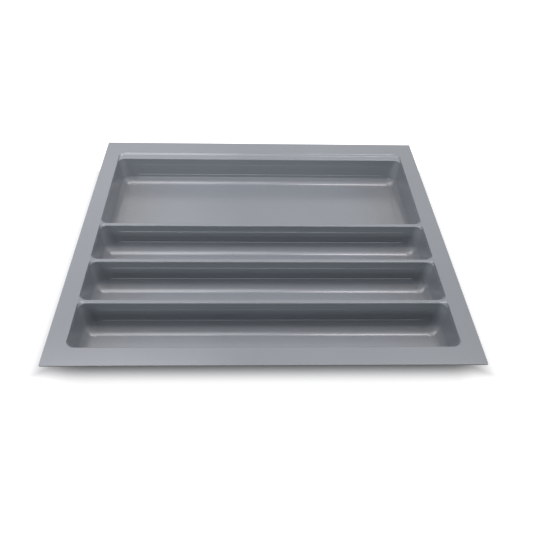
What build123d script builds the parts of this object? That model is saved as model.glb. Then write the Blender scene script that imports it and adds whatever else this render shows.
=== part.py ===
from build123d import *
import os
from math import acos, cos, radians, sin, tan

# Drawer cutlery tray, thermoformed from one plastic sheet.
#
# A wide flat flange surrounds a shallow recess. One wide and three narrow
# compartments sink from the recess, and the sheet runs over the dividers between
# them. Lengths in millimetres, +X along the compartments, +Y to the back of the
# tray, +Z up. The origin is under the middle of the tray, on the surface that
# its compartments stand on.

# Sheet and overall size
tray_length = 490.0
tray_width = 440.0
sheet = 1.5
inner_depth = 42.0
flange_corner = 1.5

# Flange and the recess inside it
side_flange = 21.3
front_flange = 17.5
back_flange = 30.0
recess_step = 2.5
recess_corner = 12.0
recess_edge_round = 1.2

# Ledges between the recess's edge and the compartments
side_ledge = 1.2
front_ledge = 9.5
back_ledge = 11.2

# Compartments, the narrow ones named from the front
narrow_names = ("front", "middle", "back")
narrow_width = 66.0
divider_width = 5.7
wall_draft = 6.5
lip_corner = 9.0
floor_corner = 15.5
narrow_floor_round = 15.0
wide_floor_round = 13.0
lip_round = 0.9

# Terraces formed into the long walls, placed by their share of the compartments' depth
terrace_depth_shares = (0.258, 0.671)
terrace_rise = 3.3
terrace_step = 0.9
terrace_end = 25.0

# Overrun of every cutting solid
overrun = 0.5

# Levels
flange_top = inner_depth + sheet
recess_floor = flange_top - recess_step
recess_underside = recess_floor - sheet
compartment_floor = sheet

# Plan of the recess and the compartments
recess_length = tray_length - 2 * side_flange
recess_front = -tray_width / 2 + front_flange
recess_back = tray_width / 2 - back_flange
compartment_length = recess_length - 2 * side_ledge
compartments_front = recess_front + front_ledge
compartments_back = recess_back - back_ledge
pitch = narrow_width + divider_width

# How far a drafted wall's outside stands from its inside, measured level
wall_level = sheet / cos(radians(wall_draft))


def draft_run(drop):
    """How far a drafted wall comes inwards over this drop."""
    return drop * tan(radians(wall_draft))


def rounded_prism(length, front, back, corner, low, high):
    """An upright block with rounded corners, centred on X."""
    outline = Pos(0, (front + back) / 2, low) * RectangleRounded(length, back - front, corner)
    return extrude(outline, high - low)


def drafted_tub(front, back, foot, grow, floor, top):
    """A compartment's solid form, open room when grow is zero and its outside when grow is wall_level.

    Its walls lean in towards the floor, its corners widen on the way down, and
    it is rounded all along its foot with the radius foot.
    """
    rise = draft_run(top - recess_floor)
    fall = draft_run(recess_floor - floor)
    upper = Pos(0, (front + back) / 2, top) * RectangleRounded(
        compartment_length + 2 * (rise + grow), back - front + 2 * (rise + grow), lip_corner + grow
    )
    lower = Pos(0, (front + back) / 2, floor) * RectangleRounded(
        compartment_length + 2 * (grow - fall), back - front + 2 * (grow - fall), floor_corner + grow
    )
    tub = loft([lower.face(), upper.face()], ruled=True)
    return fillet(tub.faces().sort_by(Axis.Z)[0].edges(), foot)


def terrace_cut(wall_y, inward, foot, grow, floor):
    """The slab behind a long wall's terraces and the rounded foot under them.

    inward is the way into the room, +1 or -1 along Y.
    """
    def wall_at(level, offset):
        return (wall_y + inward * (draft_run(recess_floor - level) + offset - grow), level)

    half_rise = terrace_rise / 2
    points = []
    for number, share in enumerate(terrace_depth_shares):
        middle = recess_floor - share * (recess_floor - compartment_floor)
        points.append(wall_at(middle + half_rise, number * terrace_step))
        points.append(wall_at(middle - half_rise, (number + 1) * terrace_step))

    # The foot starts where it touches the wall, or at the lowest terrace where that is lower
    stepped_in = len(terrace_depth_shares) * terrace_step
    touch = wall_at(floor + foot * (1 - sin(radians(wall_draft))), stepped_in)
    centre = touch[0] + inward * foot * cos(radians(wall_draft))
    if points[-1][1] < touch[1]:
        lowest = points.pop()[1]
        swing = acos(1 - (lowest - floor) / foot)
        touch = (centre - inward * foot * sin(swing), lowest)
    swing = acos(1 - (touch[1] - floor) / foot) / 2
    bend = (centre - inward * foot * sin(swing), floor + foot * (1 - cos(swing)))

    outside = wall_y - inward * (grow + overrun)
    outline = Polyline(*points, touch) + ThreePointArc(touch, bend, (centre, floor))
    outline += Polyline(
        (centre, floor), (centre, floor - overrun), (outside, floor - overrun), (outside, points[0][1]), points[0]
    )
    half_length = compartment_length / 2 - terrace_end - grow
    return extrude(make_face(Plane.YZ * outline), half_length, both=True)


def compartment_form(front, back, foot, grow, floor, top):
    """A compartment's drafted form with the terraces of both long walls."""
    form = drafted_tub(front, back, foot, grow, floor, top)
    form -= terrace_cut(back, -1, foot, grow, floor)
    form -= terrace_cut(front, 1, foot, grow, floor)
    return form


def compartment_room(front, back, foot):
    """The open room of a compartment, up through the recess's floor."""
    return compartment_form(front, back, foot, 0, compartment_floor, recess_floor + overrun)


def compartment_pan(front, back, foot, room):
    """The formed walls and floor of one compartment, up to the underside of the recess's floor."""
    return compartment_form(front, back, foot + sheet, wall_level, 0, recess_underside) - room


def level_face(shape, level):
    """The level face nearest to this height."""
    return min(shape.faces().filter_by(Axis.Z), key=lambda face: abs(face.center().Z - level))


def formed_deck(rooms):
    """The flange, the step down from it and the recess's floor, opened over each compartment.

    The edge of the recess and the lips of the compartments are rounded.
    """
    flange = rounded_prism(
        tray_length, -tray_width / 2, tray_width / 2, flange_corner, flange_top - sheet, flange_top
    )
    step = rounded_prism(
        recess_length + 2 * sheet,
        recess_front - sheet,
        recess_back + sheet,
        recess_corner + sheet,
        recess_underside,
        flange_top,
    )
    recess = rounded_prism(
        recess_length, recess_front, recess_back, recess_corner, recess_floor, flange_top + overrun
    )
    deck = flange + step - recess
    deck = fillet(level_face(deck, flange_top).inner_wires().edges(), recess_edge_round)
    for room in rooms:
        deck -= room
    return fillet(level_face(deck, recess_floor).inner_wires().edges(), lip_round)


def divider_block(front):
    """The stretch of the deck that is one divider, clear of the rounded compartment corners."""
    middle = front + divider_width / 2
    reach = compartment_length - 2 * (lip_corner + sheet)
    return Pos(0, middle, recess_floor) * Box(reach, 2 * divider_width, 2 * (sheet + overrun))


# Front, back and foot radius of each compartment, front and back at the level of the recess's floor
plans = []
for number in range(len(narrow_names)):
    narrow_front = compartments_front + number * pitch
    plans.append((narrow_front, narrow_front + narrow_width, narrow_floor_round))
plans.append((compartments_front + len(narrow_names) * pitch, compartments_back, wide_floor_round))

names = ["narrow_compartment_" + place for place in narrow_names] + ["wide_compartment"]
rooms = [compartment_room(front, back, foot) for front, back, foot in plans]
deck = formed_deck(rooms)

parts = {}
for name, (front, back, foot), room in zip(names, plans, rooms):
    parts[name] = compartment_pan(front, back, foot, room)

rim = deck
for place, (front, back, foot) in zip(narrow_names, plans):
    block = divider_block(back)
    parts["divider_" + place] = deck & block
    rim -= block
parts["rim_flange"] = rim

os.makedirs("parts", exist_ok=True)
for name, shape in parts.items():
    export_step(shape, "parts/" + name + ".step")
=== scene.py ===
from math import cos, hypot, pi, radians, sin, tan

import bpy
from mathutils import Matrix, Vector
from mathutils.geometry import delaunay_2d_cdt


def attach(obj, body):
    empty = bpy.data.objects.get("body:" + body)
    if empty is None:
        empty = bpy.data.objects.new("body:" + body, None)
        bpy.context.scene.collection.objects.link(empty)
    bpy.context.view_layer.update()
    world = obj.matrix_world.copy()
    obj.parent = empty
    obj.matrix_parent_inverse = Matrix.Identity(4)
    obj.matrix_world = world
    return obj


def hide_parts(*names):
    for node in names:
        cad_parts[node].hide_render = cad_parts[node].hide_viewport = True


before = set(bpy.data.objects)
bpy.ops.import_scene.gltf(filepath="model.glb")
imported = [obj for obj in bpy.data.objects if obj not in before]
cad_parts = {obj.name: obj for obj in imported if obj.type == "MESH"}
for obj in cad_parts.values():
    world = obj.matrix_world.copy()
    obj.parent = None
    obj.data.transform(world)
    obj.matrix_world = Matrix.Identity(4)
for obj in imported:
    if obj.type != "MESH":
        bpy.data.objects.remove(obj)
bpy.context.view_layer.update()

# Sizes of the formed sheet, in metres
tray_length = 0.490
tray_width = 0.440
sheet = 0.0015
flange_top = 0.0435
flange_corner = 0.0015
trim_round = 0.0003

# The recess inside the flange. Each step is how far the slope down from the flange spreads inside
# and outside the recess's outline, and turn_easing sets how soon a corner takes on the long side's
recess_side = 0.2218
recess_front = -0.1931
recess_back = 0.1883
recess_corner = 0.00985
recess_step = 0.0025
end_step = (0.0004, 0.0007)
back_step = (0.0010, 0.0045)
front_step = (0.0004, 0.0030)
turn_easing = 0.6

# At a divider's end the sheet sweeps up to the flange: how much further in, and how far to each side
web_reach = 0.0060
web_width = 0.0085

# Compartments: front and back of each at the level of the recess's floor
lip_level = flange_top - recess_step
seam_level = 0.0382
half_length = 0.2217
narrow_width = 0.066
divider_width = 0.0057
first_front = -0.193
wide_back = 0.1788
draft_angle = radians(6.5)
draft = tan(draft_angle)
wall_shift = sheet / cos(draft_angle)
lip_round = 0.0016
lip_corner = 0.009
floor_corner = 0.0155
narrow_floor_round = 0.015
wide_floor_round = 0.013
floor_guard = 0.0015
turn = pi / 2 - draft_angle
lip_reach = lip_round * tan(turn / 2)
corner_growth = (floor_corner - lip_corner) / (lip_level - sheet) + draft

# Terraces formed into the long walls. Each is a crisp ledge, which has a share of the terrace's step
# and a dent over it, and the rest of the step spread along the wall. The upper one is given first
terrace_drops = (0.01019, 0.0265)
terrace_step = 0.0009
terrace_spread = 0.014
ledge_rise = 0.0011
narrow_ledges = ((0.20, 0.00016), (0.55, 0.00035))
wide_ledges = ((0.12, 0.00004), (0.25, 0.0001))
terrace_end = 0.1975
terrace_fade = 0.008

# Where the dividers' strips end, and how far their lower edges reach past the seam
divider_end = 0.2112
edge_ridge = 0.00002

narrow_places = ("front", "middle", "back")
pitch = narrow_width + divider_width
spans = {}
for number, place in enumerate(narrow_places):
    front = first_front + number * pitch
    spans["narrow_compartment_" + place] = (front, front + narrow_width)
spans["wide_compartment"] = (first_front + len(narrow_places) * pitch, wide_back)
divider_fronts = {place: spans["narrow_compartment_" + place][1] for place in narrow_places}

# How finely a compartment is divided: quarter of a ring, and rows from the floor's middle up to the seam
side_cuts = 3
corner_cuts = 16
long_cuts = 45
floor_rows = 2
round_rows = 40
wall_rows = 64

# Above 1, the rows of the foot's round crowd towards the wall
round_easing = 1.5

# How finely a lip and a divider's strip are turned down
lip_cuts = 14
strip_cuts = 10

# How finely the rim's plan is divided. The soft step's loops have one more on each side, step_guard away
rim_long_cuts = 12
outline_gap = 0.02
outline_corner_cuts = 5
recess_side_gap = 0.0012
recess_corner_cuts = 20
step_loops = 12
step_guard = 0.0006
lip_clearance = 0.00012

# The trimmed edge's underside is rounded by this share of the upper round's drop
under_drop_share = 0.6

# Points this close are one, places are told apart to this many digits, and slopes are taken over this step
merge_reach = 0.000001
plan_tolerance = 1e-7
place_digits = 7
slope_step = 0.000002
sharp_angle = radians(50)

# Colours of the formed sheet and of its cut edge
deep_grey = (0.262, 0.282, 0.306)
clear_grey = (0.284, 0.304, 0.328)
speckle_grey = (0.20, 0.21, 0.23)
scratch_grey = (0.46, 0.48, 0.50)
# Rubbed wear, and a painted highlight along the lips
rubbed_and_highlight_grey = (0.40, 0.42, 0.44)
# Settled dust, and painted shade at the floors' ends
dust_and_shade_brown = (0.17, 0.155, 0.14)
deep_cut = (0.125, 0.10, 0.085)
clear_cut = (0.16, 0.13, 0.11)
speckle_cut = (0.24, 0.22, 0.20)
whitened_cut = (0.34, 0.33, 0.32)

# Heights between which the lips lie that hands and cutlery rub, and that are also painted lighter as a
# highlight
rubbed_and_highlit_low = 0.0386
rubbed_and_highlit_high = 0.0409

# The floor's glow, whose fade towards the tray paints the tray's shadow and a grey halo round it: start and
# end past the tray's outline, and strength at each
end_glow_and_painted_shadow = (-0.008, 0.046, 0.04, 0.95)
side_glow_and_painted_shadow = (-0.034, -0.004, 0.05, 0.95)
# Moves the painted shadow's fade sideways, so the grey halo is wider on the left
painted_halo_shift = 0.002
floor_reach = 6


class Term:
    """One value in a node tree. A formula written with terms adds the nodes that work it out."""

    def __init__(self, tree, socket):
        self.tree = tree
        self.socket = socket

    def math(self, operation, *others):
        node = self.tree.nodes.new("ShaderNodeMath")
        node.operation = operation
        for slot, value in zip(node.inputs, (self,) + others):
            feed(self.tree, slot, value)
        return Term(self.tree, node.outputs[0])

    def ramp(self, start, end, low, high, smooth=False):
        """Low up to start, high past end, and between them straight or with soft ends."""
        node = self.tree.nodes.new("ShaderNodeMapRange")
        node.interpolation_type = "SMOOTHSTEP" if smooth else "LINEAR"
        for slot, value in zip(node.inputs, (self, start, end, low, high)):
            feed(self.tree, slot, value)
        return Term(self.tree, node.outputs[0])

    def __add__(self, other):
        return self.math("ADD", other)

    def __sub__(self, other):
        return self.math("SUBTRACT", other)

    def __mul__(self, other):
        return self.math("MULTIPLY", other)

    def __truediv__(self, other):
        return self.math("DIVIDE", other)

    def from_(self, other):
        """Other minus this."""
        return self.math("MULTIPLY_ADD", -1.0, other)

    def sine(self):
        return self.math("SINE")

    def cosine(self):
        return self.math("COSINE")


def feed(tree, slot, value):
    """Sets a socket to a number or links a term to it."""
    if isinstance(value, Term):
        tree.links.new(value.socket, slot)
    else:
        slot.default_value = value


def shape_tree(name, size_names):
    """A geometry tree with a named input for each size, and a term for each of them."""
    tree = bpy.data.node_groups.new(name, "GeometryNodeTree")
    tree.is_modifier = True
    tree.interface.new_socket("Geometry", in_out="OUTPUT", socket_type="NodeSocketGeometry")
    for label in size_names:
        tree.interface.new_socket(label, in_out="INPUT", socket_type="NodeSocketFloat")
    tree.interface.new_socket("Material", in_out="INPUT", socket_type="NodeSocketMaterial")
    entry = tree.nodes.new("NodeGroupInput")
    sizes = {label: Term(tree, entry.outputs[label]) for label in size_names}
    return tree, sizes, entry.outputs["Material"]


def link_shapes(tree, kind, *shapes, **values):
    """A geometry node fed with these shapes, and its output."""
    node = tree.nodes.new(kind)
    multi = node.inputs[0].is_multi_input
    for number, shape in enumerate(shapes):
        tree.links.new(shape, node.inputs[0 if multi else number])
    for label, value in values.items():
        feed(tree, node.inputs[label.replace("_", " ")], value)
    return node.outputs[0]


def finish_tree(tree, shape, material):
    """Ends a tree with its faces turned outwards, its instances made real and its material set."""
    outward = link_shapes(tree, "GeometryNodeFlipFaces", shape)
    real = link_shapes(tree, "GeometryNodeRealizeInstances", outward)
    dressed = tree.nodes.new("GeometryNodeSetMaterial")
    tree.links.new(real, dressed.inputs["Geometry"])
    tree.links.new(material, dressed.inputs["Material"])
    exit_node = tree.nodes.new("NodeGroupOutput")
    tree.links.new(dressed.outputs[0], exit_node.inputs[0])


def mirrored(tree, shape, scale):
    """The shape together with its mirror image, whose faces point the same way, in or out."""
    flipped = link_shapes(tree, "GeometryNodeTransform", shape, Scale=scale)
    flipped = link_shapes(tree, "GeometryNodeFlipFaces", flipped)
    return link_shapes(tree, "GeometryNodeJoinGeometry", shape, flipped)


def placed_grid(tree, columns, rows):
    """A grid of columns by rows, with a term that counts its columns and one that counts its rows."""
    grid = tree.nodes.new("GeometryNodeMeshGrid")
    feed(tree, grid.inputs["Vertices X"], columns)
    feed(tree, grid.inputs["Vertices Y"], rows)
    for label in ("Size X", "Size Y"):
        feed(tree, grid.inputs[label], 1.0)
    index = Term(tree, tree.nodes.new("GeometryNodeInputIndex").outputs[0])
    column = (index / float(rows) + 0.5 / rows).math("FLOOR")
    row = index - column * float(rows)
    return grid.outputs["Mesh"], column, row


def place_points(tree, shape, x, y, z):
    """Moves every point of the shape to x, y, z."""
    joined = tree.nodes.new("ShaderNodeCombineXYZ")
    for slot, value in zip(joined.inputs, (x, y, z)):
        feed(tree, slot, value)
    mover = tree.nodes.new("GeometryNodeSetPosition")
    tree.links.new(shape, mover.inputs["Geometry"])
    tree.links.new(joined.outputs[0], mover.inputs["Position"])
    return mover.outputs[0]


def compartment_tree():
    """One drafted, terraced compartment: a rounded foot, inside and outside skins and the cap at its top.

    It works out a quarter, from the middle of an end wall round the corner to
    the middle of a long wall, and mirrors it twice. The rows run from the
    middle of the inside floor up to the seam and down the outside again.
    """
    names = (
        "Half Length", "Half Width", "Middle", "Lip Level", "Seam Level", "Floor Level", "Sheet",
        "Wall Shift", "Draft", "Lip Corner", "Corner Growth", "Floor Round", "Floor Guard", "Turn",
        "First Terrace", "Second Terrace", "Terrace Step", "Terrace Spread", "First Share",
        "Second Share", "First Dent", "Second Dent", "Ledge Rise", "Terrace End", "Terrace Fade",
    )
    tree, size, material = shape_tree("formed compartment", names)
    skin_rows = floor_rows + 1 + round_rows + wall_rows
    grid, column, row = placed_grid(tree, side_cuts + corner_cuts + long_cuts + 1, 2 * skin_rows)

    # Inside skin first, then the outside skin in reverse
    outside = row.ramp(skin_rows - 1, skin_rows, 0.0, 1.0)
    station = (row - (skin_rows - 0.5)).math("ABSOLUTE").from_(skin_rows - 0.5)

    # Foot round and wall
    level = size["Floor Level"] - outside * size["Sheet"]
    foot = size["Floor Round"] + outside * size["Sheet"]
    shift = outside * size["Wall Shift"]
    foot_top = level + foot * size["Turn"].cosine().from_(1.0)
    foot_middle = (size["Lip Level"] - foot_top) * size["Draft"] - shift + foot * size["Turn"].sine()
    round_end = floor_rows + round_rows
    left = station.ramp(floor_rows, round_end, 1.0, 0.0).math("POWER", round_easing)
    lean = left.from_(1.0) * size["Turn"]
    rise = station.ramp(round_end, skin_rows - 1, 0.0, 1.0) * (size["Seam Level"] - foot_top)
    height = level + foot * lean.cosine().from_(1.0) + rise
    inset = foot_middle - foot * lean.sine() - rise * size["Draft"]
    inset = inset + station.ramp(floor_rows - 1, floor_rows, 1.0, 0.0) * size["Floor Guard"]
    drop = size["Lip Level"] - height

    # Plan of the row: straight half side, corner, straight half length
    corner = size["Lip Corner"] - inset + size["Corner Growth"] * drop
    reach_x = size["Half Length"] - inset
    reach_y = size["Half Width"] - inset
    share_y = column.ramp(0, side_cuts, 0.0, 1.0)
    share_x = column.ramp(side_cuts + corner_cuts, side_cuts + corner_cuts + long_cuts, 0.0, 1.0)
    share_x = (share_x * share_x).from_(1.0)
    swing = column.ramp(side_cuts, side_cuts + corner_cuts, 0.0, pi / 2)
    x = share_x * (reach_x - corner) + corner * swing.cosine()
    y = share_y * (reach_y - corner) + corner * swing.sine()

    # Terraces, which fade out before the corners
    half_fade = size["Terrace Fade"] * 0.5
    shown = x.ramp(size["Terrace End"] - half_fade, size["Terrace End"] + half_fade, 1.0, 0.0, smooth=True)
    half_spread = size["Terrace Spread"] * 0.5
    half_rise = size["Ledge Rise"] * 0.5
    stepped = None
    for place in ("First", "Second"):
        middle = size[place + " Terrace"]
        ledge = size["Terrace Step"] * size[place + " Share"]
        above = middle - half_rise
        slow = drop.ramp(middle - half_spread, middle + half_spread, 0.0, size["Terrace Step"] - ledge)
        crisp = drop.ramp(above, middle + half_rise, 0.0, ledge, smooth=True)
        dent = drop.ramp(above - size["Ledge Rise"], above, 0.0, size[place + " Dent"], smooth=True)
        filled = drop.ramp(above, middle + half_rise, 0.0, size[place + " Dent"], smooth=True)
        step = slow + crisp - dent + filled
        stepped = step if stepped is None else stepped + step
    y = y - stepped * shown

    # Past the terraces' ends the wall leans in evenly instead, so its foot runs straight into the corners
    foot_drop = size["Lip Level"] - foot_top
    settled = drop.ramp(size["First Terrace"] - half_spread, foot_drop, 0.0, size["Terrace Step"] * 2.0)
    y = y - settled * shown.from_(1.0) * (y / reach_y)

    # The first row closes the floor along its middle line
    spread = station.ramp(0, 1, 0.0, 1.0)
    x = x * station.ramp(0, 1, (size["Half Width"] / size["Half Length"]).from_(1.0), 1.0)
    quarter = place_points(tree, grid, x, y * spread, height)

    whole = mirrored(tree, mirrored(tree, quarter, (-1.0, 1.0, 1.0)), (1.0, -1.0, 1.0))
    whole = link_shapes(tree, "GeometryNodeMergeByDistance", whole, Distance=merge_reach)
    offset = tree.nodes.new("ShaderNodeCombineXYZ")
    feed(tree, offset.inputs["Y"], size["Middle"])
    whole = link_shapes(tree, "GeometryNodeTransform", whole, Translation=Term(tree, offset.outputs[0]))
    finish_tree(tree, whole, material)
    return tree


def divider_tree():
    """The strip over one divider: the sheet turned down on both sides, swept along the tray."""
    names = (
        "Half Length", "Half Width", "Middle", "Lip Level", "Seam Level", "Sheet", "Wall Shift", "Draft",
        "Lip Round", "Lip Reach", "Turn", "Edge Ridge",
    )
    tree, size, material = shape_tree("divider strip", names)

    # Columns count along the profile from one seam to the other, and rows go once round the strip
    last = 2 * strip_cuts + 5
    grid, column, row = placed_grid(tree, last + 1, 5)
    middle = last / 2
    away = (column - middle).math("ABSOLUTE")
    side = (column - middle).math("SIGN")
    inner = row.ramp(1, 2, 0.0, 1.0) * row.ramp(3, 4, 1.0, 0.0)
    closing = away.ramp(middle - 1, middle, 0.0, 1.0)
    inner = inner + closing * inner.from_(0.5)
    far = row.ramp(0, 1, -1.0, 1.0) * row.ramp(2, 3, 1.0, -1.0)

    lean = away.ramp(0.5, strip_cuts + 0.5, 0.0, size["Turn"])
    radius = size["Lip Round"] - inner * size["Sheet"]
    down = size["Lip Round"] - radius * lean.cosine()
    out = size["Half Width"] - size["Lip Reach"] + radius * lean.sine()
    stub = away.ramp(strip_cuts + 0.5, strip_cuts + 1.5, 0.0, 1.0)
    seam_drop = size["Lip Level"] - size["Seam Level"]
    seam_out = size["Half Width"] + seam_drop * size["Draft"] - inner * size["Wall Shift"]
    down = down + stub * (seam_drop - down) + closing * size["Edge Ridge"]
    out = out + stub * (seam_out - out)
    along = far * size["Half Length"]
    strip = place_points(tree, grid, along, size["Middle"] + side * out, size["Lip Level"] - down)
    strip = link_shapes(tree, "GeometryNodeMergeByDistance", strip, Distance=merge_reach)
    finish_tree(tree, strip, material)
    return tree


def piece_from_mesh(name, mesh, node, materials=()):
    """A finished piece that stands for a node of the frame."""
    piece = bpy.data.objects.new(name, mesh)
    bpy.context.scene.collection.objects.link(piece)
    for material in materials:
        mesh.materials.append(material)
    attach(piece, "root")
    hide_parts(node)


def piece_from_tree(name, tree, sizes, material, node):
    """Runs a geometry tree with these sizes and keeps its result as a plain mesh."""
    holder = bpy.data.objects.new(name + ".shape", bpy.data.meshes.new(name + ".shape"))
    bpy.context.scene.collection.objects.link(holder)
    modifier = holder.modifiers.new("shape", "NODES")
    modifier.node_group = tree
    for item in tree.interface.items_tree:
        if item.in_out == "INPUT":
            modifier[item.identifier] = material if item.name == "Material" else sizes[item.name]
    depsgraph = bpy.context.evaluated_depsgraph_get()
    mesh = bpy.data.meshes.new_from_object(holder.evaluated_get(depsgraph))
    mesh.name = name
    holder.modifiers.remove(modifier)
    bpy.data.objects.remove(holder)
    mesh.polygons.foreach_set("use_smooth", [True] * len(mesh.polygons))
    mesh.set_sharp_from_angle(angle=sharp_angle)
    piece_from_mesh(name, mesh, node)


def compartments(material):
    """The four compartments."""
    tree = compartment_tree()
    for name, (front, back) in spans.items():
        wide = name == "wide_compartment"
        first_ledge, second_ledge = wide_ledges if wide else narrow_ledges
        sizes = {
            "Half Length": half_length, "Half Width": (back - front) / 2, "Middle": (front + back) / 2,
            "Lip Level": lip_level, "Seam Level": seam_level, "Floor Level": sheet, "Sheet": sheet,
            "Wall Shift": wall_shift, "Draft": draft,
            "Lip Corner": lip_corner, "Corner Growth": corner_growth,
            "Floor Round": wide_floor_round if wide else narrow_floor_round,
            "Floor Guard": floor_guard, "Turn": turn, "First Terrace": terrace_drops[0],
            "Second Terrace": terrace_drops[1],
            "Terrace Step": terrace_step, "Terrace Spread": terrace_spread,
            "First Share": first_ledge[0], "Second Share": second_ledge[0],
            "First Dent": first_ledge[1], "Second Dent": second_ledge[1], "Ledge Rise": ledge_rise,
            "Terrace End": terrace_end, "Terrace Fade": terrace_fade,
        }
        piece_from_tree(name + ".formed", tree, sizes, material, name)


def dividers(material):
    """The three strips over the dividers."""
    tree = divider_tree()
    for place, front in divider_fronts.items():
        sizes = {
            "Half Length": divider_end, "Half Width": divider_width / 2, "Middle": front + divider_width / 2,
            "Lip Level": lip_level, "Seam Level": seam_level, "Sheet": sheet, "Wall Shift": wall_shift,
            "Draft": draft, "Lip Round": lip_round, "Lip Reach": lip_reach, "Turn": turn,
            "Edge Ridge": edge_ridge,
        }
        piece_from_tree("divider_" + place + ".formed", tree, sizes, material, "divider_" + place)


def rounded_distance(x, y, reach_x, front, back, corner):
    """How far a point lies outside a rounded outline centred on X, below zero inside it."""
    away_x = abs(x) - (reach_x - corner)
    away_y = abs(y - (front + back) / 2) - ((back - front) / 2 - corner)
    return hypot(max(away_x, 0), max(away_y, 0)) + min(max(away_x, away_y), 0) - corner


def rounded_outline(reach_x, front, back, corner, side_gap, long_gap, corner_steps):
    """Points of a rounded outline, anticlockwise from the middle of its right side."""
    middle, reach_y = (front + back) / 2, (back - front) / 2
    side_steps = max(1, round((reach_y - corner) / side_gap))
    long_steps = max(1, round((reach_x - corner) / long_gap))
    quarter = [(reach_x, (reach_y - corner) * step / side_steps) for step in range(side_steps)]
    for step in range(corner_steps + 1):
        swing = pi / 2 * step / corner_steps
        quarter.append((reach_x - corner + corner * cos(swing), reach_y - corner + corner * sin(swing)))
    quarter += [((reach_x - corner) * (1 - step / long_steps), reach_y) for step in range(1, long_steps + 1)]
    points = [(x, middle + y) for x, y in quarter]
    points += [(-x, middle + y) for x, y in reversed(quarter[:-1])]
    points += [(-x, middle - y) for x, y in quarter[1:]]
    points += [(x, middle - y) for x, y in reversed(quarter[1:-1])]
    return points


def tray_outline(inset):
    """The tray's own outline, drawn in by inset."""
    return rounded_outline(
        tray_length / 2 - inset, -tray_width / 2 + inset, tray_width / 2 - inset, flange_corner - inset,
        outline_gap, outline_gap, outline_corner_cuts,
    )


def slope(height, x, y):
    """How steeply a height over the plan rises along x and along y."""
    return (
        (height(x + slope_step, y) - height(x - slope_step, y)) / (2 * slope_step),
        (height(x, y + slope_step) - height(x, y - slope_step)) / (2 * slope_step),
    )


def soft_ends(share):
    """The share, from 0 to 1, with a gentle start and end."""
    return share * share * (3 - 2 * share)


def recess_turn(x, y):
    """The way out of the recess near its outline, as shares along x and y."""
    away_x = abs(x) - (recess_side - recess_corner)
    away_y = abs(y - (recess_front + recess_back) / 2) - ((recess_back - recess_front) / 2 - recess_corner)
    if away_x > 0 and away_y > 0:
        return away_x / hypot(away_x, away_y), away_y / hypot(away_x, away_y)
    return (0, 1) if away_y > away_x else (1, 0)


def web_share(y):
    """1 in line with a divider's middle, where the sheet sweeps up to the flange, and 0 clear of them."""
    away = min(abs(y - front - divider_width / 2) for front in divider_fronts.values())
    return soft_ends(max(1 - away / web_width, 0))


def step_reach(x, y):
    """How far the soft step spreads inside and outside the recess's outline here."""
    share = recess_turn(x, y)[1] ** turn_easing
    long_step = front_step if y < 0 else back_step
    inside, outside = [end + (long - end) * share for end, long in zip(end_step, long_step)]
    return inside + web_reach * web_share(y) * (1 - share), outside


def deck_height(x, y, grow=0.0):
    """Height of the flange, the soft step down from it and the recess's floor."""
    away = rounded_distance(x, y, recess_side, recess_front, recess_back, recess_corner) - grow
    inside, outside = step_reach(x, y)
    share = min(max((away + inside) / (inside + outside), 0), 1)
    return lip_level + recess_step * soft_ends(share)


def lip_stations():
    """Rows over a lip: how far each has turned down, then a triple for its upper side and its underside.

    A triple holds the offset from the wall's line, the drop, and how much of
    the drop leaves the corner as it is.
    """
    rows = []
    for step in range(lip_cuts + 1):
        lean = turn * step / lip_cuts
        under = lip_round - sheet
        rows.append((
            lean,
            (lip_reach - lip_round * sin(lean), lip_round * (1 - cos(lean)), 0.0),
            (lip_reach - under * sin(lean), lip_round - under * cos(lean), sheet * (1 - step / lip_cuts)),
        ))
    drop = lip_level - seam_level
    rows.append((turn, (-drop * draft, drop, 0.0), (wall_shift - drop * draft, drop, 0.0)))
    return rows


def ring_columns(front, back):
    """Columns round a compartment, from the middle of its right side.

    Each is a function that gives its place at any offset and drop.
    """
    def place(kind, value, sign_x, sign_y):
        def at(offset, drop, eased):
            corner = lip_corner + offset + corner_growth * (drop - eased)
            reach_x, reach_y = half_length + offset, (back - front) / 2 + offset
            if kind == "side":
                x, y = reach_x, (reach_y - corner) * value
            elif kind == "corner":
                x = reach_x - corner + corner * cos(value)
                y = reach_y - corner + corner * sin(value)
            else:
                x, y = value, reach_y
            return sign_x * x, (front + back) / 2 + sign_y * y
        return at

    quarter = [("side", step / side_cuts) for step in range(side_cuts)]
    quarter += [("corner", pi / 2 * step / corner_cuts) for step in range(corner_cuts + 1)]
    quarter += [("long", divider_end * (1 - step / rim_long_cuts)) for step in range(rim_long_cuts + 1)]
    order = [(item, 1, 1) for item in quarter]
    order += [(item, -1, 1) for item in reversed(quarter[:-1])]
    order += [(item, -1, -1) for item in quarter[1:]]
    order += [(item, 1, -1) for item in reversed(quarter[1:-1])]
    return [place(kind, value, sx, sy) for (kind, value), sx, sy in order]


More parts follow.
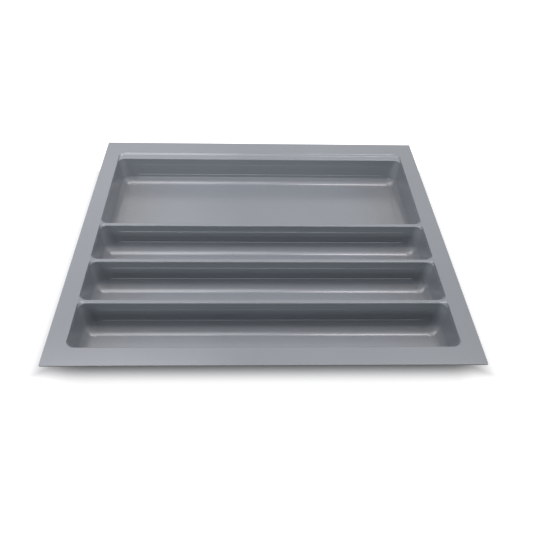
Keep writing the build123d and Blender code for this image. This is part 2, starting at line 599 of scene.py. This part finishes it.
class Sheet:
    """A formed sheet in the making: paired points on its upper side and underside, and the faces between.

    Each point is kept with the direction that the surface faces there, so that
    long flat faces beside tight rounds shade cleanly.
    """

    def __init__(self):
        self.upper = []
        self.under = []
        self.faces = []
        self.known = {}

    def point(self, upper, upper_facing, under, under_facing):
        key = tuple(round(value, place_digits) for value in upper)
        if key not in self.known:
            self.known[key] = len(self.upper)
            self.upper.append((Vector(upper), Vector(upper_facing).normalized()))
            self.under.append((Vector(under), Vector(under_facing).normalized()))
        return self.known[key]

    def face(self, *corners):
        corners = [c for number, c in enumerate(corners) if c != corners[number - 1]]
        if len(corners) > 2:
            self.faces.append(corners)

    def mesh(self, name, trimmed_edge):
        """Closes the sheet along its open edges. Where trimmed_edge is true they get the second material."""
        count = len(self.upper)
        points = self.upper + self.under
        faces = [list(face) for face in self.faces]
        faces += [[count + corner for corner in reversed(face)] for face in self.faces]
        facings = [[points[corner][1] for corner in face] for face in faces]
        used = {pair for face in self.faces for pair in zip(face, face[1:] + face[:1])}
        materials = [0] * len(faces)
        for start, end in sorted(used):
            if (end, start) not in used:
                wall = [end, start, count + start, count + end]
                along, across = (points[wall[n]][0] - points[wall[0]][0] for n in (1, 3))
                faces.append(wall)
                facings.append([along.cross(across).normalized()] * 4)
                materials.append(1 if trimmed_edge(points[start][0]) else 0)
        mesh = bpy.data.meshes.new(name)
        mesh.from_pydata([place for place, _ in points], [], faces)
        mesh.polygons.foreach_set("material_index", materials)
        mesh.polygons.foreach_set("use_smooth", [True] * len(faces))
        mesh.update()
        mesh.normals_split_custom_set([facing for face in facings for facing in face])
        return mesh


def beyond_lip(x, y, front, back):
    """How far a point of the deck lies from the lip of one compartment, below zero inside it."""
    return rounded_distance(
        x, y, half_length + lip_reach, front - lip_reach, back + lip_reach, lip_corner + lip_reach
    )


def clear_of_lips(x, y):
    """How far a point of the deck lies from the nearest compartment's lip, below zero inside it."""
    return min(beyond_lip(x, y, front, back) for front, back in spans.values())


def over_divider(x, y):
    """Whether a point of the deck belongs to a divider's strip."""
    if abs(x) > divider_end:
        return False
    return any(
        front - lip_round < y < front + divider_width + lip_round for front in divider_fronts.values()
    )


def rim_mesh():
    """The flange, the recess inside it and the lips round the compartments, less the dividers' strips."""
    rim = Sheet()

    def under_height(x, y):
        return deck_height(x, y, sheet / 2)

    def deck_point(x, y):
        rise_x, rise_y = slope(deck_height, x, y)
        low_x, low_y = slope(under_height, x, y)
        upper = (x, y, deck_height(x, y))
        under = (x, y, under_height(x, y) - sheet)
        return rim.point(upper, (-rise_x, -rise_y, 1), under, (low_x, low_y, -1))

    def lip_point(lean, place, drop, low_place, low_drop, away):
        """A point of a lip that has turned down by lean, which also rises with the deck's soft step."""
        facings = []
        for (x, y), height in ((place, deck_height), (low_place, under_height)):
            rise_x, rise_y = slope(height, x, y)
            facings.append(Vector((
                -cos(lean) * rise_x - sin(lean) * away[0],
                -cos(lean) * rise_y - sin(lean) * away[1],
                cos(lean),
            )))
        upper = (*place, deck_height(*place) - drop)
        under = (*low_place, under_height(*low_place) - low_drop)
        return rim.point(upper, facings[0], under, -facings[1])

    # Lips round each compartment
    rings = []
    stations = lip_stations()
    for front, back in spans.values():
        def beyond(x, y):
            return beyond_lip(x, y, front, back)

        table = []
        for at in ring_columns(front, back):
            line = []
            for lean, (offset, drop, eased), (low_offset, low_drop, low_eased) in stations:
                place = at(offset, drop, eased)
                if lean == 0:
                    line.append(deck_point(*place))
                    away = slope(beyond, *at(0, 0, 0))
                else:
                    low_place = at(low_offset, low_drop, low_eased)
                    line.append(lip_point(lean, place, drop, low_place, low_drop, away))
            table.append((line, at(lip_reach, 0, 0)))
        rings.append(table)
        for number, (line, (x, y)) in enumerate(table):
            next_line, (next_x, next_y) = table[(number + 1) % len(table)]
            if over_divider((x + next_x) / 2, (y + next_y) / 2):
                continue
            for upper, lower, next_upper, next_lower in zip(line, line[1:], next_line, next_line[1:]):
                rim.face(upper, next_upper, next_lower, lower)

    # Flat and stepped deck between the outline and the lips
    places, edges = [], []
    index_of = {}

    def place_of(x, y):
        key = (round(x, place_digits), round(y, place_digits))
        if key not in index_of:
            index_of[key] = len(places)
            places.append(Vector((x, y)))
        return index_of[key]

    loops = [tray_outline(trim_round)] + [[xy for _, xy in table] for table in rings]
    for loop in loops:
        marks = [place_of(x, y) for x, y in loop]
        edges += list(zip(marks, marks[1:] + marks[:1]))
    for front in divider_fronts.values():
        for x in (-divider_end, divider_end):
            low = place_of(x, front + lip_reach)
            high = place_of(x, front + divider_width - lip_reach)
            edges.append((low, high))
    recess = rounded_outline(
        recess_side, recess_front, recess_back, recess_corner,
        recess_side_gap, outline_gap, recess_corner_cuts,
    )
    for step in range(-1, step_loops + 2):
        loop = []
        for x, y in recess:
            inside, outside = step_reach(x, y)
            share = min(max(step / step_loops, 0), 1)
            offset = (inside + outside) * share - inside
            offset += step_guard * (1 if step > step_loops else -1 if step < 0 else 0)
            out_x, out_y = recess_turn(x, y)
            side_x = 1 if x > 0 else -1
            side_y = 1 if y > (recess_front + recess_back) / 2 else -1
            loop.append((x + side_x * offset * out_x, y + side_y * offset * out_y))
        clear = [clear_of_lips(x, y) > lip_clearance for x, y in loop]
        for number, (x, y) in enumerate(loop):
            after = (number + 1) % len(loop)
            after_x, after_y = loop[after]
            if clear[number]:
                mark = place_of(x, y)
                if clear[after] and clear_of_lips((x + after_x) / 2, (y + after_y) / 2) > 0:
                    edges.append((mark, place_of(after_x, after_y)))
    points, _, triangles, _, _, _ = delaunay_2d_cdt(places, edges, [], 0, plan_tolerance)
    for triangle in triangles:
        x = sum(points[corner].x for corner in triangle) / 3
        y = sum(points[corner].y for corner in triangle) / 3
        if clear_of_lips(x, y) < 0 or over_divider(x, y):
            continue
        rim.face(*[deck_point(points[corner].x, points[corner].y) for corner in triangle])

    # Trimmed outer edge, slightly rounded
    def beyond_outline(x, y):
        return rounded_distance(x, y, tray_length / 2, -tray_width / 2, tray_width / 2, flange_corner)

    rounded = []
    for lean in (0, pi / 4, pi / 2):
        offset = trim_round * (1 - sin(lean))
        drop = trim_round * (1 - cos(lean))
        low = flange_top - sheet + drop * under_drop_share
        marks = []
        for x, y in tray_outline(offset):
            out_x, out_y = slope(beyond_outline, x, y)
            marks.append(rim.point(
                (x, y, flange_top - drop), (sin(lean) * out_x, sin(lean) * out_y, cos(lean)),
                (x, y, low), (sin(lean) * out_x, sin(lean) * out_y, -cos(lean)),
            ))
        rounded.append(marks)
    for ring, next_ring in zip(rounded, rounded[1:]):
        for number in range(len(ring)):
            after = (number + 1) % len(ring)
            rim.face(ring[number], next_ring[number], next_ring[after], ring[after])
    return rim.mesh("rim_flange", lambda point: beyond_outline(point.x, point.y) > -trim_round / 2)


def effect_group(name, numbers, results):
    """An empty surface effect: terms for its place and its numbers, and the node that takes its results."""
    tree = bpy.data.node_groups.new(name, "ShaderNodeTree")
    tree.interface.new_socket("Place", in_out="INPUT", socket_type="NodeSocketVector")
    for label in numbers:
        tree.interface.new_socket(label, in_out="INPUT", socket_type="NodeSocketFloat")
    for label in results:
        tree.interface.new_socket(label, in_out="OUTPUT", socket_type="NodeSocketFloat")
    entry = tree.nodes.new("NodeGroupInput")
    terms = {label: Term(tree, entry.outputs[label]) for label in ("Place", *numbers)}
    return tree, terms, tree.nodes.new("NodeGroupOutput")


def patches(place, scale, detail=2.0, drawn_out=(1.0, 1.0, 1.0)):
    """Soft random patches, from 0 to 1. They are long along an axis where drawn_out is small."""
    tree = place.tree
    spread = tree.nodes.new("ShaderNodeVectorMath")
    spread.operation = "MULTIPLY"
    feed(tree, spread.inputs[0], place)
    spread.inputs[1].default_value = drawn_out
    texture = tree.nodes.new("ShaderNodeTexNoise")
    tree.links.new(spread.outputs[0], texture.inputs["Vector"])
    feed(tree, texture.inputs["Scale"], scale)
    texture.inputs["Detail"].default_value = detail
    return Term(tree, texture.outputs[0])


def axes_of(place):
    """The x, y and z of a place."""
    split = place.tree.nodes.new("ShaderNodeSeparateXYZ")
    feed(place.tree, split.inputs[0], place)
    return [Term(place.tree, output) for output in split.outputs]


def moulded_grain():
    """Fine grain from the mould over the slow unevenness of a drawn sheet. Height in millimetres."""
    tree, given, result = effect_group(
        "moulded grain", ("Grain Scale", "Grain Depth", "Wave Scale", "Wave Depth"), ("Height", "Speckle")
    )
    grain = patches(given["Place"], given["Grain Scale"])
    wave = patches(given["Place"], given["Wave Scale"], 1.0)
    feed(tree, result.inputs["Height"], grain * given["Grain Depth"] + wave * given["Wave Depth"])
    feed(tree, result.inputs["Speckle"], grain)
    return tree


def tone_drift():
    """Slow drift of the plastic's tone, with a fainter finer mottle."""
    tree, given, result = effect_group("tone drift", ("Drift Scale", "Mottle Scale"), ("Tone",))
    drift = patches(given["Place"], given["Drift Scale"], 3.0).ramp(0.3, 0.7, 0.0, 1.0, smooth=True)
    mottle = patches(given["Place"], given["Mottle Scale"], 4.0)
    feed(tree, result.inputs["Tone"], drift * 0.65 + mottle * 0.35)
    return tree


def sliding_marks():
    """Hair scratches that cutlery leaves as it slides along the floors, in worn patches only."""
    tree, given, result = effect_group(
        "sliding marks", ("Hair Scale", "Patch Scale", "Wear", "Floor Level", "Clear Level"), ("Mark",)
    )
    hairs = patches(given["Place"], given["Hair Scale"], 1.0, (0.025, 1.0, 1.0)).ramp(0.6, 0.68, 0.0, 1.0)
    worn = patches(given["Place"], given["Patch Scale"], 3.0).ramp(0.45, 0.7, 0.0, 1.0, smooth=True)
    low = axes_of(given["Place"])[2].ramp(given["Floor Level"], given["Clear Level"], 1.0, 0.0, smooth=True)
    feed(tree, result.inputs["Mark"], hairs * worn * low * given["Wear"])
    return tree


def settled_dust_and_shade():
    """Darker brown tone low down, most at the two ends of the tray: settled dust, and painted shade where the
    floors' ends get less light.
    """
    tree, given, result = effect_group(
        "settled dust", ("Floor Level", "Clear Level", "End Start", "End Full"), ("Dust And Shade",)
    )
    x, _, z = axes_of(given["Place"])
    low = z.ramp(given["Floor Level"], given["Clear Level"], 1.0, 0.0, smooth=True)
    ends = x.math("ABSOLUTE").ramp(given["End Start"], given["End Full"], 0.05, 1.0, smooth=True)
    cloud = patches(given["Place"], 45.0, 2.0).ramp(0.3, 0.75, 0.65, 1.0)
    feed(tree, result.inputs["Dust And Shade"], low * ends * cloud)
    return tree


def rubbed_edges_and_lip_highlight():
    """Lighter edges: wear where hands and cutlery rub the tray's outline and the compartments' lips, and
    along the lips also a painted highlight.
    """
    tree, given, result = effect_group(
        "rubbed edges", ("Lip Low", "Lip High", "Outline X", "Outline Y", "Edge Reach"), ("Rubbed And Highlight",)
    )
    x, y, z = axes_of(given["Place"])
    middle = (given["Lip Low"] + given["Lip High"]) * 0.5
    rising = z.ramp(given["Lip Low"], middle, 0.0, 1.0, smooth=True)
    lips = rising * z.ramp(middle, given["Lip High"], 1.0, 0.0, smooth=True)
    to_end = given["Outline X"] - x.math("ABSOLUTE")
    to_side = given["Outline Y"] - y.math("ABSOLUTE")
    outline = to_end.math("MINIMUM", to_side).ramp(0.0, given["Edge Reach"], 1.0, 0.0, smooth=True)
    uneven = patches(given["Place"], 90.0, 3.0).ramp(0.35, 0.65, 0.35, 1.0)
    feed(tree, result.inputs["Rubbed And Highlight"], lips.math("MAXIMUM", outline) * uneven)
    return tree


def placed_effect(place, group, **numbers):
    """An effect at work in a material, with this finish's own numbers. Gives its results as terms."""
    tree = place.tree
    node = tree.nodes.new("ShaderNodeGroup")
    node.node_tree = group
    feed(tree, node.inputs["Place"], place)
    for label, value in numbers.items():
        feed(tree, node.inputs[label.replace("_", " ")], value)
    return [Term(tree, output) for output in node.outputs]


def blended(share, low_colour, high_colour):
    """The low colour where share is 0, the high one where it is 1."""
    node = share.tree.nodes.new("ShaderNodeMix")
    node.data_type = "RGBA"
    feed(share.tree, node.inputs[0], share)
    for slot, colour in ((node.inputs[6], low_colour), (node.inputs[7], high_colour)):
        feed(share.tree, slot, colour if isinstance(colour, Term) else (*colour, 1.0))
    return Term(share.tree, node.outputs[2])


def new_material(name):
    """A material's tree, its shader, and the place on the piece as a term."""
    material = bpy.data.materials.new(name)
    material.use_nodes = True
    tree = material.node_tree
    coordinates = tree.nodes.new("ShaderNodeTexCoord")
    return material, tree.nodes["Principled BSDF"], Term(tree, coordinates.outputs["Object"])


def raised_by(height, shader):
    """Gives a shader a relief, from a height in millimetres."""
    tree = height.tree
    bump = tree.nodes.new("ShaderNodeBump")
    bump.inputs["Distance"].default_value = 0.001
    feed(tree, bump.inputs["Height"], height)
    tree.links.new(bump.outputs[0], shader.inputs["Normal"])


def formed_plastic(effects):
    """Semi-gloss grey sheet: faint grain, drifting tone, sliding marks, dust with painted shade at the
    floors' ends, and rubbed edges with a painted highlight along the lips.
    """
    material, shader, place = new_material("formed plastic")
    height, speckle = placed_effect(
        place, effects["grain"], Grain_Scale=1300.0, Grain_Depth=0.0015, Wave_Scale=12.0, Wave_Depth=0.005
    )
    tone, = placed_effect(place, effects["tone"], Drift_Scale=7.0, Mottle_Scale=140.0)
    mark, = placed_effect(
        place, effects["marks"], Hair_Scale=1100.0, Patch_Scale=16.0, Wear=0.6,
        Floor_Level=sheet, Clear_Level=0.006,
    )
    dust_and_shade, = placed_effect(
        place, effects["dust_and_shade"], Floor_Level=sheet, Clear_Level=0.012, End_Start=0.12, End_Full=0.212
    )
    rubbed_and_highlight, = placed_effect(
        place, effects["rubbed_and_highlight"], Lip_Low=rubbed_and_highlit_low, Lip_High=rubbed_and_highlit_high, Outline_X=tray_length / 2,
        Outline_Y=tray_width / 2, Edge_Reach=0.0012,
    )
    colour = blended(tone, deep_grey, clear_grey)
    colour = blended(speckle.ramp(0.35, 0.65, 0.0, 0.05), colour, speckle_grey)
    colour = blended(mark * 0.015, colour, scratch_grey)
    # Lips and outline painted lighter: rubbed wear, and along the lips a painted highlight
    colour = blended(rubbed_and_highlight * 0.25, colour, rubbed_and_highlight_grey)
    # Darker brown low down at the ends: dust, and painted shade at the floors' ends
    colour = blended(dust_and_shade * 0.45, colour, dust_and_shade_brown)
    feed(place.tree, shader.inputs["Base Color"], colour)
    rough = speckle.ramp(0.3, 0.7, 0.205, 0.235) + mark * 0.015 + dust_and_shade * 0.04 + rubbed_and_highlight * 0.05
    feed(place.tree, shader.inputs["Roughness"], rough + tone * 0.02)
    shader.inputs["Specular IOR Level"].default_value = 0.7
    raised_by(height + mark * -0.0003, shader)
    return material


def trimmed_plastic(effects):
    """The cut face of the sheet: darker and duller, roughly grained, and paler where it is rubbed."""
    material, shader, place = new_material("trimmed edge")
    height, speckle = placed_effect(
        place, effects["grain"], Grain_Scale=2600.0, Grain_Depth=0.012, Wave_Scale=400.0, Wave_Depth=0.02
    )
    tone, = placed_effect(place, effects["tone"], Drift_Scale=12.0, Mottle_Scale=300.0)
    rubbed_and_highlight, = placed_effect(
        place, effects["rubbed_and_highlight"], Lip_Low=rubbed_and_highlit_low, Lip_High=rubbed_and_highlit_high, Outline_X=tray_length / 2,
        Outline_Y=tray_width / 2, Edge_Reach=0.0003,
    )
    colour = blended(tone, deep_cut, clear_cut)
    colour = blended(speckle.ramp(0.45, 0.7, 0.0, 0.35), colour, speckle_cut)
    colour = blended(rubbed_and_highlight * 0.15, colour, whitened_cut)
    feed(place.tree, shader.inputs["Base Color"], colour)
    feed(place.tree, shader.inputs["Roughness"], speckle.ramp(0.3, 0.7, 0.5, 0.66))
    raised_by(height, shader)
    return material


effects = {
    "grain": moulded_grain(), "tone": tone_drift(), "marks": sliding_marks(), "dust_and_shade": settled_dust_and_shade(),
    "rubbed_and_highlight": rubbed_edges_and_lip_highlight(),
}
plastic = formed_plastic(effects)
cut_edge = trimmed_plastic(effects)
compartments(plastic)
dividers(plastic)
piece_from_mesh("rim_flange.formed", rim_mesh(), "rim_flange", (plastic, cut_edge))

# Camera
camera_data = bpy.data.cameras.new("camera")
camera_data.lens = 39.107
camera_data.sensor_width = 36
camera = bpy.data.objects.new("camera", camera_data)
bpy.context.scene.collection.objects.link(camera)
bpy.context.scene.camera = camera
pitch_down, yaw, roll = radians(44.255), radians(2.683), radians(1.985)
side = Vector((cos(yaw), -sin(yaw), 0))
ahead = Vector((cos(pitch_down) * sin(yaw), cos(pitch_down) * cos(yaw), -sin(pitch_down)))
below = Vector((-sin(pitch_down) * sin(yaw), -sin(pitch_down) * cos(yaw), -cos(pitch_down)))
right = side * cos(roll) - below * sin(roll)
down = side * sin(roll) + below * cos(roll)
camera.matrix_world = Matrix((
    (right.x, -down.x, -ahead.x, -0.02113),
    (right.y, -down.y, -ahead.y, -0.59539),
    (right.z, -down.z, -ahead.z, 0.55928),
    (0, 0, 0, 1),
))


def seen_directly(tree):
    """1 where the camera, a reflection or a see-through surface looks, 0 where only light is gathered."""
    path = tree.nodes.new("ShaderNodeLightPath")
    camera_ray, glossy_ray, through_ray = [
        Term(tree, path.outputs[label]) for label in ("Is Camera Ray", "Is Glossy Ray", "Is Transmission Ray")
    ]
    return camera_ray.math("MAXIMUM", glossy_ray).math("MAXIMUM", through_ray)


def white_floor():
    """A matt white floor that glows white to the eye. The glow fades towards the tray, which paints its
    shadow and a grey halo round it, and under the tray the lamps' own shadow stays.
    """
    material, shader, place = new_material("white floor")
    tree = place.tree
    shader.inputs["Base Color"].default_value = (0.5, 0.5, 0.5, 1)
    shader.inputs["Roughness"].default_value = 0.9
    shader.inputs["Specular IOR Level"].default_value = 0.1
    shader.inputs["Emission Color"].default_value = (1, 1, 1, 1)
    x, y, _ = axes_of(place)
    # Painted shadow: the glow fades in towards the tray's ends and sides
    past_end = ((x + painted_halo_shift).math("ABSOLUTE") - tray_length / 2).ramp(*end_glow_and_painted_shadow, smooth=True)
    past_side = (y.math("ABSOLUTE") - tray_width / 2).ramp(*side_glow_and_painted_shadow, smooth=True)
    glow_and_painted_shadow = past_end.math("MAXIMUM", past_side)
    feed(tree, shader.inputs["Emission Strength"], glow_and_painted_shadow * seen_directly(tree))
    return material


def soft_box(name, place, aim, width, height, power, colour):
    """A rectangular studio lamp at a place, turned towards another."""
    data = bpy.data.lights.new(name, "AREA")
    data.shape = "RECTANGLE"
    data.size = width
    data.size_y = height
    data.energy = power
    data.color = colour
    lamp = bpy.data.objects.new(name, data)
    bpy.context.scene.collection.objects.link(lamp)
    lamp.location = place
    lamp.rotation_euler = (Vector(aim) - Vector(place)).to_track_quat("-Z", "Y").to_euler()


# Floor and light
floor_mesh = bpy.data.meshes.new("floor")
floor_corners = [(x * floor_reach, y * floor_reach, 0) for x, y in ((-1, -1), (1, -1), (1, 1), (-1, 1))]
floor_mesh.from_pydata(floor_corners, [], [(0, 1, 2, 3)])
floor_piece = bpy.data.objects.new("floor", floor_mesh)
bpy.context.scene.collection.objects.link(floor_piece)
floor_mesh.materials.append(white_floor())
world = bpy.data.worlds.new("studio")
bpy.context.scene.world = world
world.use_nodes = True
backdrop = world.node_tree.nodes["Background"]
backdrop.inputs["Color"].default_value = (1, 1, 1, 1)
feed(world.node_tree, backdrop.inputs["Strength"], seen_directly(world.node_tree))
lamps = {
    "near back left": ((-0.35, 0.15, 0.8), (-0.35, 0.15, 0), 0.5, 0.3, 2.25, (0.96, 0.96, 1.0)),
    "near middle left": ((-0.45, 0, 0.8), (-0.45, 0, 0), 1.0, 0.4, 3.4, (0.97, 0.97, 1.0)),
    "near middle right": ((0.45, 0, 0.8), (0.45, 0, 0), 0.8, 0.4, 1.1, (0.9, 0.92, 1.0)),
    "right strip": ((0.61, 0.47, 1.6), (0.61, 0.47, 0), 0.78, 0.3, 8.8, (1.0, 0.96, 0.98)),
    "low front": ((-0.3, -1.9, 0.45), (0, 0, 0), 1.6, 0.3, 7.2, (0.9, 0.97, 1.0)),
    "low right": ((1.5, 0.2, 0.85), (0, 0, 0), 0.6, 0.6, 1.2, (1.0, 1.0, 0.9)),
    "rear left": ((-0.75, 1.3, 1.5), (0, 0, 0), 1.5, 1.4, 1.8, (1.0, 0.98, 0.92)),
    "rear right": ((0.75, 1.3, 1.5), (0, 0, 0), 1.5, 1.4, 1.8, (0.9, 1.0, 0.95)),
}
for name, (place, aim, width, height, power, colour) in lamps.items():
    soft_box(name, place, aim, width, height, power, colour)
bpy.context.scene.view_settings.view_transform = "Standard"
